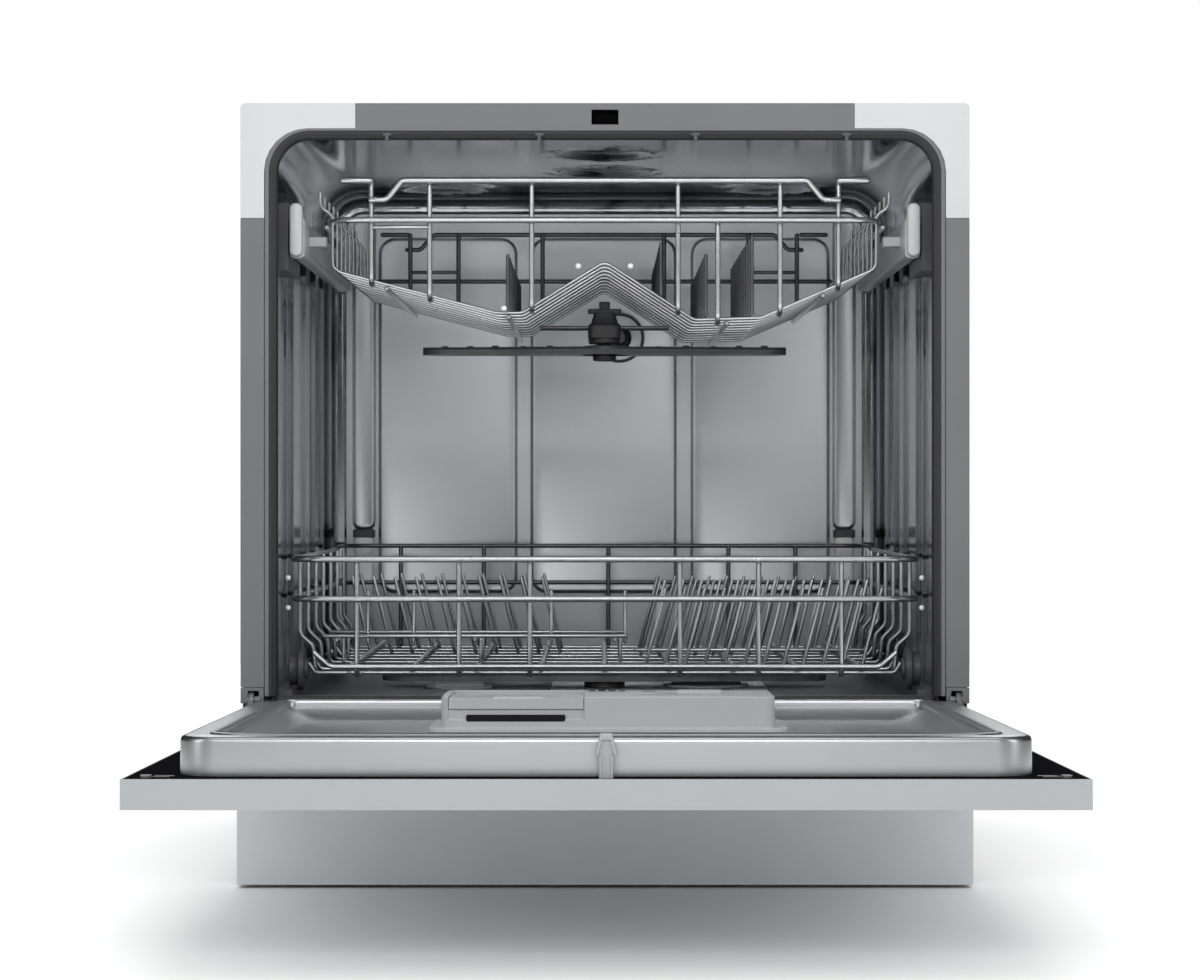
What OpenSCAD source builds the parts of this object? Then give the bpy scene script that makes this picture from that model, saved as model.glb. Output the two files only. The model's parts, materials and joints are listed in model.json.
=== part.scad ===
// Compact built-in dishwasher, stored with its door open.
// Drawn with y = 0 on the cabinet's front plane, +Y into the cabinet and z = 0 on the floor.

/* [Cabinet] */
// Width of the cabinet body
body_w = 555; // [550:1:556]
// Height of the cabinet body
body_h = 595; // [595:1:600]
// Depth of the cabinet body behind its front plane
body_d = 505; // [505:1:520]
// Thickness of the outer sheet-metal panels
sheet_t = 1; // [0.8:0.1:1.2]
// Half width of the opening in the front frame
opening_hw = 259.5; // [259.5:0.1:260]
// Height of the top edge of the opening
opening_z = 575.8; // [575:0.1:576]
// Radius of the opening's upper corners
opening_r = 33; // [28:1:36]

/* [Tub] */
// Half width of the tub inside
tub_hw = 255; // [254.8:0.1:255.2]
// Underside of the tub's ceiling
tub_top = 572; // [571:0.5:572]
// Front face of the tub's back wall
tub_back_y = 480; // [480:1:484]
// Upper face of the tub's floor
tub_floor_z = 137; // [136:0.5:137]
// Height of the ledges that the lower wheels roll on
ledge_z = 147.2; // [147:0.1:147.2]

/* [Door] */
// Width of the outer door panel
panel_w = 595; // [590:1:596]
// Thickness of the outer door panel
panel_t = 19; // [18:1:19]
// Distance from the hinge axis to the panel's free edge
panel_reach = 452.5; // [450:0.5:454]
// Distance that the panel runs past the hinge axis
panel_tail = 10; // [6:1:10]
// Height of the hinge axis
pivot_z = 140.5; // [140:0.5:141]
// Angle by which the open door stops above level
tilt = 1.04; // [1:0.01:1.2]
// Half width of the inner door
inner_hw = 266.5; // [264:0.5:266.5]
// Distance from the hinge axis to the inner door's free edge
inner_reach = 431.4; // [428:0.1:432]
// Depth of the tray pressed into the inner door
tray_depth = 14.5; // [12:0.5:15]

/* [Baskets] */
// Diameter of the rail wires
rail_d = 5; // [4:0.5:5]
// Diameter of the post and floor wires
post_d = 4; // [3:0.5:4]
// Diameter of the tine wires
tine_d = 3; // [2.5:0.5:3]
// Height of the lower basket's top rail
lower_rail_z = 247; // [240:1:250]
// Height of the upper basket's top rail
upper_rail_z = 541.2; // [538:0.2:542]

/* [Spray arms] */
// Centre of both spray arms behind the front plane
arm_y = 232; // [228:1:236]
// Length of the lower spray arm from its axis to its tip
lower_arm_l = 186; // [170:1:188]
// Length of the upper spray arm from its axis to its tip
upper_arm_l = 152.5; // [140:0.5:155]

/* [Hidden] */
// The upper face of the outer panel, below the hinge plane.
panel_v = -25;
// The row's origin lies under the middle of the box around the open machine.
row_shift = (panel_reach * cos(tilt) + (panel_t - panel_v) * sin(tilt) - body_d) / 2;
skin_v = -0.5;
seam_z = 150.3;
frame_back = 12.8;
base_front = 14;
base_top = 130;
plinth_y = -20;
gap = 0.05;
wire_sides = 8;
running = 0.05;
hinge_x0 = 262;
hinge_x1 = 273.4;
hinge_cheek_t = 1.5;
hinge_pin_r = 3;
rib_end = 12;
roller_pin_r = 3;
arm_pin_r = 6;
roller_z = 496;
roller_r = 11.6;
roller_ys = [52, 104];
rail_x0 = 233;
rail_x1 = 243;
rail_y1 = 468;
wheel_z = 160.6;
wheel_ys = [65, 400];
port_x = 14;
port_z = 440;
filter_c = [85, 235];
salt_c = [-120, 200];
// Height of the dispenser's top above the hinge plane.
dispenser_v = 10;
rinse_c = [69, -84];
screw_xs = [-283, 283];
screw_ys = [2, -441];
upper_front_y = 50;
upper_rear_y = 430;
lower_front_y = 35;
lower_rear_y = 455;
lower_side_x = 243;
floor_wire_z = 158;
fold_y = 180;
fold_z = 169.2;
// The upper basket's floor in cross-section: two valleys beside a ridge for the spray arm.
floor_w = [
    [-222.5, 533], [-222.5, 521], [-212.7, 516], [-212.7, 475], [-206.4, 470.5],
    [-85.4, 438.9], [-64.8, 438.9], [0, 479], [70, 433.5], [122, 435],
    [209, 472.4], [212, 477], [212, 516], [222, 521], [222, 533]
];
// The same floor between its upright ends, as height against x.
floor_height = [for (i = [4:10]) floor_w[i]];
floor_w_ys = [for (i = [0:9]) 62 + i * 39];

// ---- Places ----

module placed() translate([0, row_shift, 0]) children();

// In the door's own axes y = -(distance from the hinge axis) and z = height off the hinge plane.
module on_door() placed() translate([0, 0, pivot_z]) rotate([-tilt, 0, 0]) children();

module both_sides() {
    children();
    mirror([1, 0, 0]) children();
}

// ---- Shapes ----

function arc(c, r, a0, a1, n = 6) =
    [for (i = [0:n]) c + r * [cos(a0 + (a1 - a0) * i / n), sin(a0 + (a1 - a0) * i / n)]];

function round_rect(a, b, r) = concat(
    arc([b.x - r, a.y + r], r, -90, 0), arc([b.x - r, b.y - r], r, 0, 90),
    arc([a.x + r, b.y - r], r, 90, 180), arc([a.x + r, a.y + r], r, 180, 270));

function arch(hw, z0, z1, r) = concat(
    [[-hw, z0], [hw, z0]], arc([hw - r, z1 - r], r, 0, 90), arc([r - hw, z1 - r], r, 90, 180));

module block(a, b) translate(a) cube(b - a);

module slab_x(x0, x1) translate([x0, 0, 0]) rotate([90, 0, 90]) linear_extrude(x1 - x0) children();

module slab_y(y0, y1) translate([0, y1, 0]) rotate([90, 0, 0]) linear_extrude(y1 - y0) children();

module slab_z(z0, z1) translate([0, 0, z0]) linear_extrude(z1 - z0) children();

module rod_x(x0, x1, y, z, r) translate([x0, y, z]) rotate([0, 90, 0]) cylinder(h = x1 - x0, r = r, $fn = 48);

module rod_y(y0, y1, x, z, r) translate([x, y1, z]) rotate([90, 0, 0]) cylinder(h = y1 - y0, r = r, $fn = 48);

module rod_z(z0, z1, x, y, r) translate([x, y, z0]) cylinder(h = z1 - z0, r = r, $fn = 48);

// A straight wire between two points.
module wire(a, b, d) {
    run = b - a;
    translate(a)
        rotate([0, acos(run.z / norm(run)), atan2(run.y, run.x)])
            cylinder(h = norm(run), d = d, $fn = wire_sides);
}

function unit(v) = v / norm(v);

// The mitre direction at point i of a path in the plane with normal n, scaled to keep the wire's width.
function mitre(path, n, i) =
    let (before = i == 0 ? unit(path[1] - path[0]) : unit(path[i] - path[i - 1]),
         after = i == len(path) - 1 ? before : unit(path[i + 1] - path[i]),
         side = unit(cross(n, before + after)))
    side / (side * cross(n, before));

// One closed wire along a flat path.
module bent_wire(path, n, d) {
    m = len(path);
    k = wire_sides;
    rings = [for (i = [0:m - 1], j = [0:k - 1])
        path[i] + d / 2 * (sin(360 * j / k) * n + cos(360 * j / k) * mitre(path, n, i))];
    sides = [for (i = [0:m - 2], j = [0:k - 1])
        [i * k + j, (i + 1) * k + j, (i + 1) * k + (j + 1) % k, i * k + (j + 1) % k]];
    start = [[for (j = [0:k - 1]) j]];
    end = [[for (j = [0:k - 1]) m * k - 1 - j]];
    polyhedron(rings, concat(sides, start, end));
}

// ---- Cabinet ----

module side_panels() color("#b4b6b8") both_sides()
    block(
        [body_w / 2 - sheet_t, frame_back + 0.2, 20],
        [body_w / 2, body_d - sheet_t - 0.1, body_h - sheet_t - 0.1]);

module top_panel() color("#a9abad")
    block([-body_w / 2, frame_back + 0.2, body_h - sheet_t], [body_w / 2, body_d - sheet_t - 0.1, body_h]);

// Windows at the foot of the back for the water inlet and the drain.
module hose_windows() {
    translate([-215, 65]) square([76, 70], center = true);
    translate([215, 48]) square([60, 50], center = true);
}

module rear_panel() color("#a9abad") slab_y(body_d - sheet_t, body_d) difference() {
    polygon([[-body_w / 2, 20], [body_w / 2, 20], [body_w / 2, body_h], [-body_w / 2, body_h]]);
    hose_windows();
}

module base_tray() color("#2b2c2e") difference() {
    block([-276, base_front, 12], [276, body_d - 2, base_top]);
    block([-273.5, base_front + 3, 15], [273.5, body_d - 5, base_top + 1]);
    slab_y(body_d - 10, body_d) hose_windows();
}

module plinth_panel() color("#c9cbcd") {
    block([-278, plinth_y, 2.5], [278, plinth_y + 1, 92]);
    both_sides() block([277, plinth_y + 1, 2.5], [278, frame_back - 0.3, 92]);
    both_sides() block([150, plinth_y + 1, 40], [170, base_front - 0.05, 42]);
}

module levelling_feet() color("#303133") for (y = [45, 465]) both_sides() {
    rod_z(0, 4, 240, y, 16);
    rod_z(4, 12, 240, y, 5);
}

module frame_outline() difference() {
    polygon(arch(body_w / 2, seam_z, body_h, 4));
    polygon(arch(opening_hw, seam_z - 50, opening_z, opening_r));
}

module corner_outline() intersection() {
    frame_outline();
    translate([body_w / 2 - 87.5, body_h - 87.5]) square(88);
}

module front_frame() color("#4a4c4e") difference() {
    union() {
        slab_y(0.8, 2.8) frame_outline();
        slab_y(0, 0.8) intersection() {
            frame_outline();
            union() {
                translate([87.8 - body_w / 2, opening_z - 5]) square([body_w - 175.6, 40]);
                translate([-body_w / 2, 0]) square([body_w, body_h - 87.8]);
            }
        }
        both_sides() block([body_w / 2 - 1.2, 2.8, seam_z], [body_w / 2, frame_back, body_h - 6]);
    }
    block([-10.25, -1, 578.7], [10.25, 4, 590]);
}

module corner_plates() color("#b9bbbd") both_sides() slab_y(0, 0.75) corner_outline();

// The rubber seal lines the opening, with a separate strip along the sill.
module door_gasket() color("#232426") {
    slab_y(0, 14) difference() {
        polygon(arch(opening_hw - 0.1, tub_floor_z + 6.5, opening_z - 0.1, opening_r));
        polygon(arch(249.6, tub_floor_z, 567.6, 25));
    }
    block([-249, 0.2, tub_floor_z + gap], [249, 6, 143.4]);
}

// Flat walls with two pressed ribs each, which stop short of the floor and the ceiling.
module tub_sides() color("#c6c8ca") both_sides() {
    slab_z(tub_floor_z - 3, tub_top + 1) polygon([
        [tub_hw, 14.2], [tub_hw, tub_back_y + 1], [tub_hw + 1, tub_back_y + 1],
        [tub_hw + 1, 15.2], [261, 15.2], [261, 14.2]
    ]);
    for (y = [138, 240]) slab_z(ledge_z + rib_end, tub_top - rib_end) polygon([
        [tub_hw + 0.5, y], [tub_hw, y], [tub_hw - 2.5, y + 4],
        [tub_hw - 2.5, y + 12], [tub_hw, y + 16], [tub_hw + 0.5, y + 16]
    ]);
}

module tub_ceiling() color("#bcbec0")
    block([0.1 - tub_hw, 14.2, tub_top], [tub_hw - 0.1, tub_back_y - 0.1, tub_top + 1]);

module tub_back() color("#c9cbcd") difference() {
    union() {
        block([0.1 - tub_hw, tub_back_y, tub_floor_z - 3], [tub_hw - 0.1, tub_back_y + 1, tub_top + 1]);
        slab_y(tub_back_y - 1.5, tub_back_y) {
            polygon(round_rect([-65.4, 208], [64.3, 530], 12));
            polygon(round_rect([-205, 208], [-82, 530], 12));
            polygon(round_rect([81.8, 208], [205, 530], 12));
        }
    }
    rod_y(tub_back_y - 3, tub_back_y + 3, port_x, port_z, 13);
}

module tub_floor() color("#b4b6b8") difference() {
    union() {
        block([0.1 - tub_hw, 14.2, tub_floor_z - 3], [tub_hw - 0.1, tub_back_y - 0.1, tub_floor_z]);
        block([-249, 6.2, tub_floor_z - 3], [249, 16, 143.5]);
        both_sides() block([239.7, 16, tub_floor_z - 1], [tub_hw - 0.1, tub_back_y - 2, ledge_z]);
    }
    block([-45, 165, 100], [135, 305, 160]);
    rod_z(120, 160, salt_c.x, salt_c.y, 30);
}

module sump() color("#3a3b3d") {
    difference() {
        union() {
            block([-60, 150, 131], [150, 320, 133.9]);
            block([-42, 168, 40], [132, 302, 132]);
        }
        block([-39, 171, 43], [129, 299, 140]);
        rod_y(290, 310, 78, 70, 13);
        rod_x(125, 140, 200, 60, 10);
    }
    rod_z(43, 140.7, 0, arm_y, 17);
    rod_z(140.7, 148, 0, arm_y, arm_pin_r);
}

module filter_plate() color("#aeb0b2") difference() {
    block([-44.5, 165.5, 134], [134.5, 304.5, 136.5]);
    rod_z(130, 140, filter_c.x, filter_c.y, 32.2);
    rod_z(130, 140, 0, arm_y, 17.5);
}

module wash_pump() color("#d8d8d4") {
    rod_x(56, 96, 382, 70, 45);
    rod_x(95, 190, 382, 70, 36);
    rod_y(302.4, 345, 78, 70, 16);
    rod_z(110, 128, 76, 392, 12);
}

module drain_pump() color("#d8d8d4") {
    rod_x(132.4, 145, 200, 60, 12);
    rod_x(144, 226, 200, 60, 28);
    rod_y(220, 470, 215, 44, 11);
    rod_y(469, 500, 215, 44, 9.5);
}

module inlet_valve() color("#e6e6e2") {
    block([-238, 400, 42], [-192, 470, 90]);
    rod_y(469, 500, -215, 65, 13.2);
}

module softener_tank() color("#dcdcd8") difference() {
    union() {
        block([-205, 100, 18], [-64, 340, 125]);
        rod_z(124, 136, salt_c.x, salt_c.y, 26);
    }
    rod_z(124, 140, salt_c.x, salt_c.y, 22);
}

module air_breather() color("#e0e0dc") block([tub_hw + 2.5, 200, 220], [274, 410, 520]);

module control_box() color("#dededa") difference() {
    block([60, 30, 20], [220, 120, 75]);
    block([63, 27, 23], [217, 117, 72]);
}

// A channel on each side holds the hinge pin; its face is cut away for the arm.
module hinge_brackets() color("#5a5c5e") both_sides() {
    difference() {
        block([259.8, 0, 138], [body_w / 2, 1.5, seam_z - 0.3]);
        block([hinge_x0 + 0.4, -1, 130], [hinge_x1 - 0.4, 3, 147.5]);
    }
    for (x = [hinge_x0, hinge_x1 - hinge_cheek_t]) {
        block([x, 0, 131.5], [x + hinge_cheek_t, 60, seam_z - 0.3]);
        block([x, base_front + 3.6, 95], [x + hinge_cheek_t, 60, 132]);
    }
    block([hinge_x0, 58, 95], [hinge_x1, 60, 148]);
    rod_x(hinge_x0, hinge_x1, 0, pivot_z, hinge_pin_r);
}

module door_springs() color("#8f9193") both_sides() {
    rod_y(60.1, 78, 267.7, 112, 2);
    rod_y(78, 240, 267.7, 112, 5.3);
}

module latch_catch() color("#2d2e30") difference() {
    block([-22, 2.9, 576.2], [22, 32, 593]);
    block([-11, 1, 578.3], [11, 26, 590.4]);
}

// Dark plates on the tub's side walls carry the pins of the upper basket's rollers.
module rail_brackets() color("#37383a") both_sides() {
    block([244.5, 34, 470], [tub_hw - 0.1, 124, 522]);
    for (y = roller_ys) rod_x(235.6, 245, y, roller_z, roller_pin_r);
}

module feed_pipe() color("#3a3b3d") {
    difference() {
        union() {
            rod_y(471, tub_back_y - 1.6, port_x, port_z, 22.5);
            rod_y(478, 490, port_x, port_z, 12.8);
        }
        rod_y(470, 486, port_x, port_z, 10.5);
    }
    rod_z(135, 452, port_x, 492, 9.5);
}

module filter_cup() color("#8e9092") translate([filter_c.x, filter_c.y, 0]) {
    difference() {
        union() {
            rod_z(60, 136.6, 0, 0, 31);
            rod_z(136.6, 138, 0, 0, 36);
        }
        rod_z(62.5, 140, 0, 0, 28.5);
    }
    block([-29, -3, 128], [29, 3, 140.4]);
}

module salt_cap() color("#d5d6d2") translate([salt_c.x, salt_c.y, 0]) {
    rod_z(128, 136.5, 0, 0, 21.5);
    rod_z(136.3, 138.6, 0, 0, 27.5);
    block([-20, -3, 138], [20, 3, 140.6]);
}

// ---- Spray arms ----

// A blade that narrows from its hub to rounded tips, with jets along its upper face.
module spray_arm(l, w_hub, w_tip, h) difference() {
    union() {
        slab_z(0, h) polygon(concat(
            arc([l - w_tip / 2, 0], w_tip / 2, -90, 90),
            [[24, w_hub / 2], [-24, w_hub / 2]],
            arc([w_tip / 2 - l, 0], w_tip / 2, 90, 270),
            [[-24, -w_hub / 2], [24, -w_hub / 2]]));
        for (s = [-1, 1], f = [0.45, 0.66, 0.86])
            translate([s * f * l, 0, h - 0.2])
                cylinder(h = 1, r = 2.6, $fn = 16);
    }
    translate([0, 0, -1]) cylinder(h = h + 3, r = arm_pin_r + running, $fn = 48);
}

module lower_spray_arm() color("#4b4d50") translate([0, arm_y, 141]) spray_arm(lower_arm_l, 46, 24, 8);

module upper_spray_arm() color("#4b4d50") translate([0, arm_y, 413.2]) spray_arm(upper_arm_l, 42, 24, 8);

// ---- Upper basket rollers ----

module roller(side, y) color("#2f3032") difference() {
    rod_x(side > 0 ? 236 : -242.4, side > 0 ? 242.4 : -236, y, roller_z, roller_r);
    rod_x(side > 0 ? 230 : -250, side > 0 ? 250 : -230, y, roller_z, roller_pin_r + running);
}

module roller_left_front() roller(-1, roller_ys[0]);
module roller_left_rear() roller(-1, roller_ys[1]);
module roller_right_front() roller(1, roller_ys[0]);
module roller_right_rear() roller(1, roller_ys[1]);

// ---- Door, in its own axes ----

module tray_cut(z0, z1, hw, near, far, r)
    slab_z(z0, z1) polygon(round_rect([-hw, -far], [hw, -near], r));

module inner_door() color("#c4c6c8") difference() {
    slab_z(panel_v, skin_v) polygon(round_rect([-inner_hw, -inner_reach], [inner_hw, -2], 12));
    tray_cut(skin_v - 5, 1, 242, 3.5, 406, 12);
    hull() {
        tray_cut(skin_v - 5, skin_v - 4.9, 242, 3.5, 406, 12);
        tray_cut(skin_v - tray_depth, skin_v - tray_depth + 0.1, 222, 20, 388, 12);
    }
    slab_z(panel_v - 1, -17) polygon(round_rect([-264.5, -429.4], [264.5, -4], 10));
    slab_z(-18, skin_v - 2) difference() {
        polygon(round_rect([-264.5, -429.4], [264.5, -4], 10));
        polygon(round_rect([-245, -409], [245, 0], 14));
    }
}

module outer_panel() color("#c9cbcc") difference() {
    block([-panel_w / 2, -panel_reach, panel_v - panel_t], [panel_w / 2, panel_tail, panel_v]);
    block(
        [1.2 - panel_w / 2, 1.2 - panel_reach, panel_v - panel_t + 1.2],
        [panel_w / 2 - 1.2, panel_tail - 1.2, 0]);
    block([-290, -446, panel_v - panel_t - 1], [290, -402, panel_v]);
}

module panel_core() color("#1f2022") difference() {
    block(
        [1.3 - panel_w / 2, 1.3 - panel_reach, panel_v - panel_t + 1.3],
        [panel_w / 2 - 1.3, panel_tail - 1.3, panel_v - 0.1]);
    block([-276, -434, panel_v - panel_t], [276, -4, panel_v - 3]);
    for (x = screw_xs, y = screw_ys) translate([x, y, panel_v - 8]) cylinder(h = 12, r = 2.2, $fn = 24);
}

module control_fascia() color("#17181a")
    block([-289.8, -445.8, panel_v - panel_t], [289.8, -402.2, panel_v - panel_t + 1.2]);

module door_insulation() color("#55575a")
    slab_z(panel_v + 0.1, -17.1) polygon(round_rect([-262, -427], [262, -7], 10));

// A flat arm from the hinge pin down to the outer panel and along it.
module hinge_arms() color("#a5a7a9") both_sides() difference() {
    slab_x(266.9, 271.2) union() {
        circle(r = 6, $fn = 48);
        polygon([[-3.2, 3.2], [-20.9, -14.5], [-205, -14.5], [-205, -24.8], [-18.4, -24.8], [3.2, -3.2]]);
    }
    rod_x(260, 280, 0, 0, hinge_pin_r + running);
}

module latch_strike() color("#8c8e90") slab_y(-448, -440) polygon([
    [-4.7, panel_v], [4.7, panel_v], [4.7, -10], [7, -10], [3.9, 2.8], [-3.9, 2.8], [-7, -10], [-4.7, -10]
]);

// The tablet chamber and rinse-aid tank stand in the tray; a track guides the sliding lid.
module dispenser_body() color("#b7b8b8") difference() {
    union() {
        slab_z(-14.9, dispenser_v) polygon(round_rect([-117, -150], [121, -47.5], 8));
        slab_z(-14.9, -12) polygon(round_rect([-126, -157], [130, -40], 10));
    }
    block([-112, -151, 1], [-15, -49.5, dispenser_v + 1]);
    slab_z(-10, 2) polygon(round_rect([-106, -146], [-21, -104], 8));
    block([-112, -151, -6], [-15, -148.5, 2]);
    block([-12, -54, 7], [15, -46, dispenser_v + 1]);
    translate([rinse_c.x, rinse_c.y, 2]) cylinder(h = dispenser_v, r = 22.4, $fn = 48);
    translate([rinse_c.x, rinse_c.y, -8]) cylinder(h = 12, r = 12, $fn = 48);
}

module dispenser_lid() color("#c2c3c3") {
    block([-111.6, -149.6, 1.2], [-15.4, -98, dispenser_v - 1]);
    block([-80, -148, dispenser_v - 1.3], [-45, -144, dispenser_v]);
}

module rinse_cap() color("#cdcece") translate([rinse_c.x, rinse_c.y, 0]) {
    translate([0, 0, 2.3]) cylinder(h = dispenser_v - 2.5, r = 21.5, $fn = 48);
    translate([0, 0, -7.5]) cylinder(h = 10, r = 11.4, $fn = 48);
    block([-16, -1.5, dispenser_v - 1], [16, 1.5, dispenser_v + 2]);
}

module door_screws() color("#d0d0d0") for (x = screw_xs, y = screw_ys) translate([x, y, 0]) {
    translate([0, 0, panel_v - 0.05]) cylinder(h = 1.8, r = 3.6, $fn = 32);
    translate([0, 0, panel_v - 7]) cylinder(h = 8, r = 2.1, $fn = 24);
}

// ---- Lower basket ----

lower_front_posts = [-192, -113, -58, 58, 119, 183];
lower_rear_posts = [-185, -109.5, 3.7, 113, 174];
lower_side_posts = [for (i = [0:6]) 62 + i * 60];
lower_cross_ys = [for (i = [0:8]) 58 + i * 48];
shelf_ys = [70, 137];
lower_long_xs = [-200, -150, -100, -50, 0, 50, 100, 150, 200];
// The basket is a little narrower at the back.
function side_rail_x(y) = lower_side_x - 4 * (y - lower_front_y) / (lower_rear_y - lower_front_y);

module lower_basket_walls() color("#d2d4d6") {
    behind = (rail_d + post_d) / 2 + gap;
    // Front
    for (z = [lower_rail_z, 216.3]) wire([-240, lower_front_y, z], [240, lower_front_y, z], rail_d);
    wire([-216, lower_front_y, floor_wire_z + 6], [216, lower_front_y, floor_wire_z + 6], post_d);
    for (x = lower_front_posts)
        wire([x, lower_front_y + behind, 156], [x, lower_front_y + behind, lower_rail_z + 1], post_d);
    // Rear
    for (z = [249.7, 216.3]) wire([-234, lower_rear_y, z], [234, lower_rear_y, z], post_d);
    for (x = lower_rear_posts)
        wire([x, lower_rear_y - post_d - gap, 156], [x, lower_rear_y - post_d - gap, 250], post_d);
    // Sides
    both_sides() {
        for (z = [lower_rail_z, 216.3])
            wire([side_rail_x(39), 39, z], [side_rail_x(452), 452, z], post_d);
        for (y = lower_side_posts) bent_wire([
            [side_rail_x(y) - behind, y, lower_rail_z], [side_rail_x(y) - behind, y, 188],
            [228, y, 181], [226, y, 161]
        ], [0, 1, 0], post_d - 0.5);
    }
}

module lower_basket_floor() color("#c6c8ca") {
    for (y = lower_cross_ys) wire([-229, y, floor_wire_z], [229, y, floor_wire_z], post_d);
    for (x = lower_long_xs)
        wire([x, 50, floor_wire_z + post_d + gap], [x, 448, floor_wire_z + post_d + gap], post_d);
}

// One row of tines across the basket, each leaning to its side.
module tine_row(x0, x1, count, y, z0, z1, lean) for (i = [0:count - 1]) {
    x = x0 + (x1 - x0) * i / (count - 1);
    wire([x, y, z0], [x + lean, y, z1], tine_d);
}

module lower_tines_right() color("#d2d4d6") for (y = [74, 290, 400])
    tine_row(34, 204, 12, y, 166, 224, 14);

module lower_fold_row() color("#d2d4d6") {
    rod_x(24, 216, fold_y, fold_z, post_d / 2);
    tine_row(36, 202, 12, fold_y + post_d / 2 + 0.6, fold_z, fold_z + 58, 14);
}

// Leaning rows behind, and a raised shelf of two wires in front of them.
module lower_tines_left() color("#c6c8ca") {
    for (y = [315, 405]) tine_row(-204, -40, 10, y, 166, 226, -14);
    for (y = shelf_ys) wire([-222, y, 186], [18, y, 186], tine_d);
    for (x = [-186, -150, -114, -42, 16])
        wire([x, 72.2 + tine_d / 2, 180], [x, 72.2 + tine_d / 2, 222], tine_d);
    for (x = [-210, -102, 8]) wire([x, 66, 182.9], [x, 141, 182.9], tine_d);
    for (x = [-210, -102, 8], y = [84, 128]) wire([x + 4, y, 166], [x + 4, y, 184], tine_d);
}

// A grooved drum with a larger guide disc beside it and a hub on the basket side.
module wheel(side, y) color("#3b3c3e") rotate([0, 0, side > 0 ? 0 : 180])
    translate([0, side > 0 ? y : -y, 0]) difference() {
        union() {
            rod_x(239.4, 246.4, 0, wheel_z, 13.2);
            rod_x(234, 239.5, 0, wheel_z, 16.7);
            rod_x(231.5, 234.1, 0, wheel_z, 8);
        }
        rod_x(240, 250, 0, wheel_z, 9);
    }

module wheel_left_front() wheel(-1, wheel_ys[0]);
module wheel_left_rear() wheel(-1, wheel_ys[1]);
module wheel_right_front() wheel(1, wheel_ys[0]);
module wheel_right_rear() wheel(1, wheel_ys[1]);

// ---- Upper basket ----

upper_front_posts = [-182, -136.5, -57, 57, 88, 136.5, 182];
upper_rear_posts = [-174.8, -131.4, -55.6, 54, 130.2, 173.7];

// The top rail of an end wall: it steps down near both ends, past short end rails.
module stepped_rail(y, z, drop, hw, d) {
    bent_wire([[-hw, y, z - drop], [14 - hw, y, z - drop], [26 - hw, y, z], [hw - 26, y, z],
        [hw - 14, y, z - drop], [hw, y, z - drop]], [0, 1, 0], d);
    both_sides() wire([hw - 4, y, z], [hw + 22, y, z], d);
}

module upper_basket_walls() color("#d2d4d6") {
    post_y = upper_front_y + rail_d / 2 + post_d / 2 + gap;
    stepped_rail(upper_front_y, upper_rail_z, 15, 184, rail_d);
    wire([-208, upper_front_y, 510.5], [208, upper_front_y, 510.5], rail_d);
    for (x = upper_front_posts) {
        top = x == 88 ? 512 : upper_rail_z + 1;
        wire([x, post_y, lookup(x, floor_height) + 5], [x, post_y, top], post_d);
    }
    stepped_rail(upper_rear_y, 530.9, 13.6, 180, post_d);
    wire([-206, upper_rear_y, 488.8], [206, upper_rear_y, 488.8], post_d);
    rear_post_y = upper_rear_y - post_d - gap;
    for (x = upper_rear_posts)
        wire([x, rear_post_y, lookup(x, floor_height) + 5], [x, rear_post_y, 532], post_d);
}

module upper_basket_floor() color("#c6c8ca") {
    for (y = floor_w_ys) bent_wire([for (p = floor_w) [p.x, y, p.y]], [0, 1, 0], tine_d);
    for (x = [-170, -75, 95, 170]) {
        z = lookup(x, floor_height) - tine_d / 2 - post_d / 2 - 0.3;
        wire([x, 52, z], [x, 428, z], post_d);
    }
    both_sides() wire([216.6, 52, 505], [216.6, 428, 505], post_d);
}

module upper_tines() color("#b9bbbd") for (y = floor_w_ys) {
    wire([-76, y + tine_d + gap, 441], [-76, y + tine_d + gap, 485], tine_d);
    wire([44, y + tine_d + gap, 452], [44, y + tine_d + gap, 494], tine_d);
    wire([79, y + tine_d + gap, 436], [79, y + tine_d + gap, 485], tine_d);
    wire([115, y + tine_d + gap, 437], [115, y + tine_d + gap, 500], tine_d);
}

// Channel rails that open outwards over the rollers, with end caps as hand grips.
module upper_rails() color("#b5b7b9") both_sides() {
    difference() {
        block([rail_x0, 34.9, 482], [rail_x1, rail_y1, 510]);
        block([rail_x0 + 1.6, 37, 484], [rail_x1 + 1, rail_y1 - 3, 508]);
    }
    slab_x(rail_x0, rail_x1) polygon(round_rect([25, 480], [35, 522], 4.5));
    for (y = [80, 390]) block([219.2, y, 492], [rail_x0 + 0.1, y + 14, 500]);
}

module upper_arm_mount() color("#1d1e20") {
    block([-14, arm_y - 14, 423.4], [14, arm_y + 14, 458]);
    block([-28, arm_y - 5, 448], [28, arm_y + 5, 452]);
    rod_z(411, 424, 0, arm_y, arm_pin_r);
    rod_z(408.4, 412.8, 0, arm_y, 10);
    translate([0, arm_y + 10, port_z])
        rotate([0, 90, atan2(470.5 - arm_y - 10, port_x)])
            cylinder(h = norm([port_x, 470.5 - arm_y - 10]), r = 9, $fn = 48);
    for (y = [arm_y - 10, arm_y + 10], s = [-1, 1]) wire([s * 13, y, 436], [s * 54, y, 436], tine_d);
}

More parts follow.
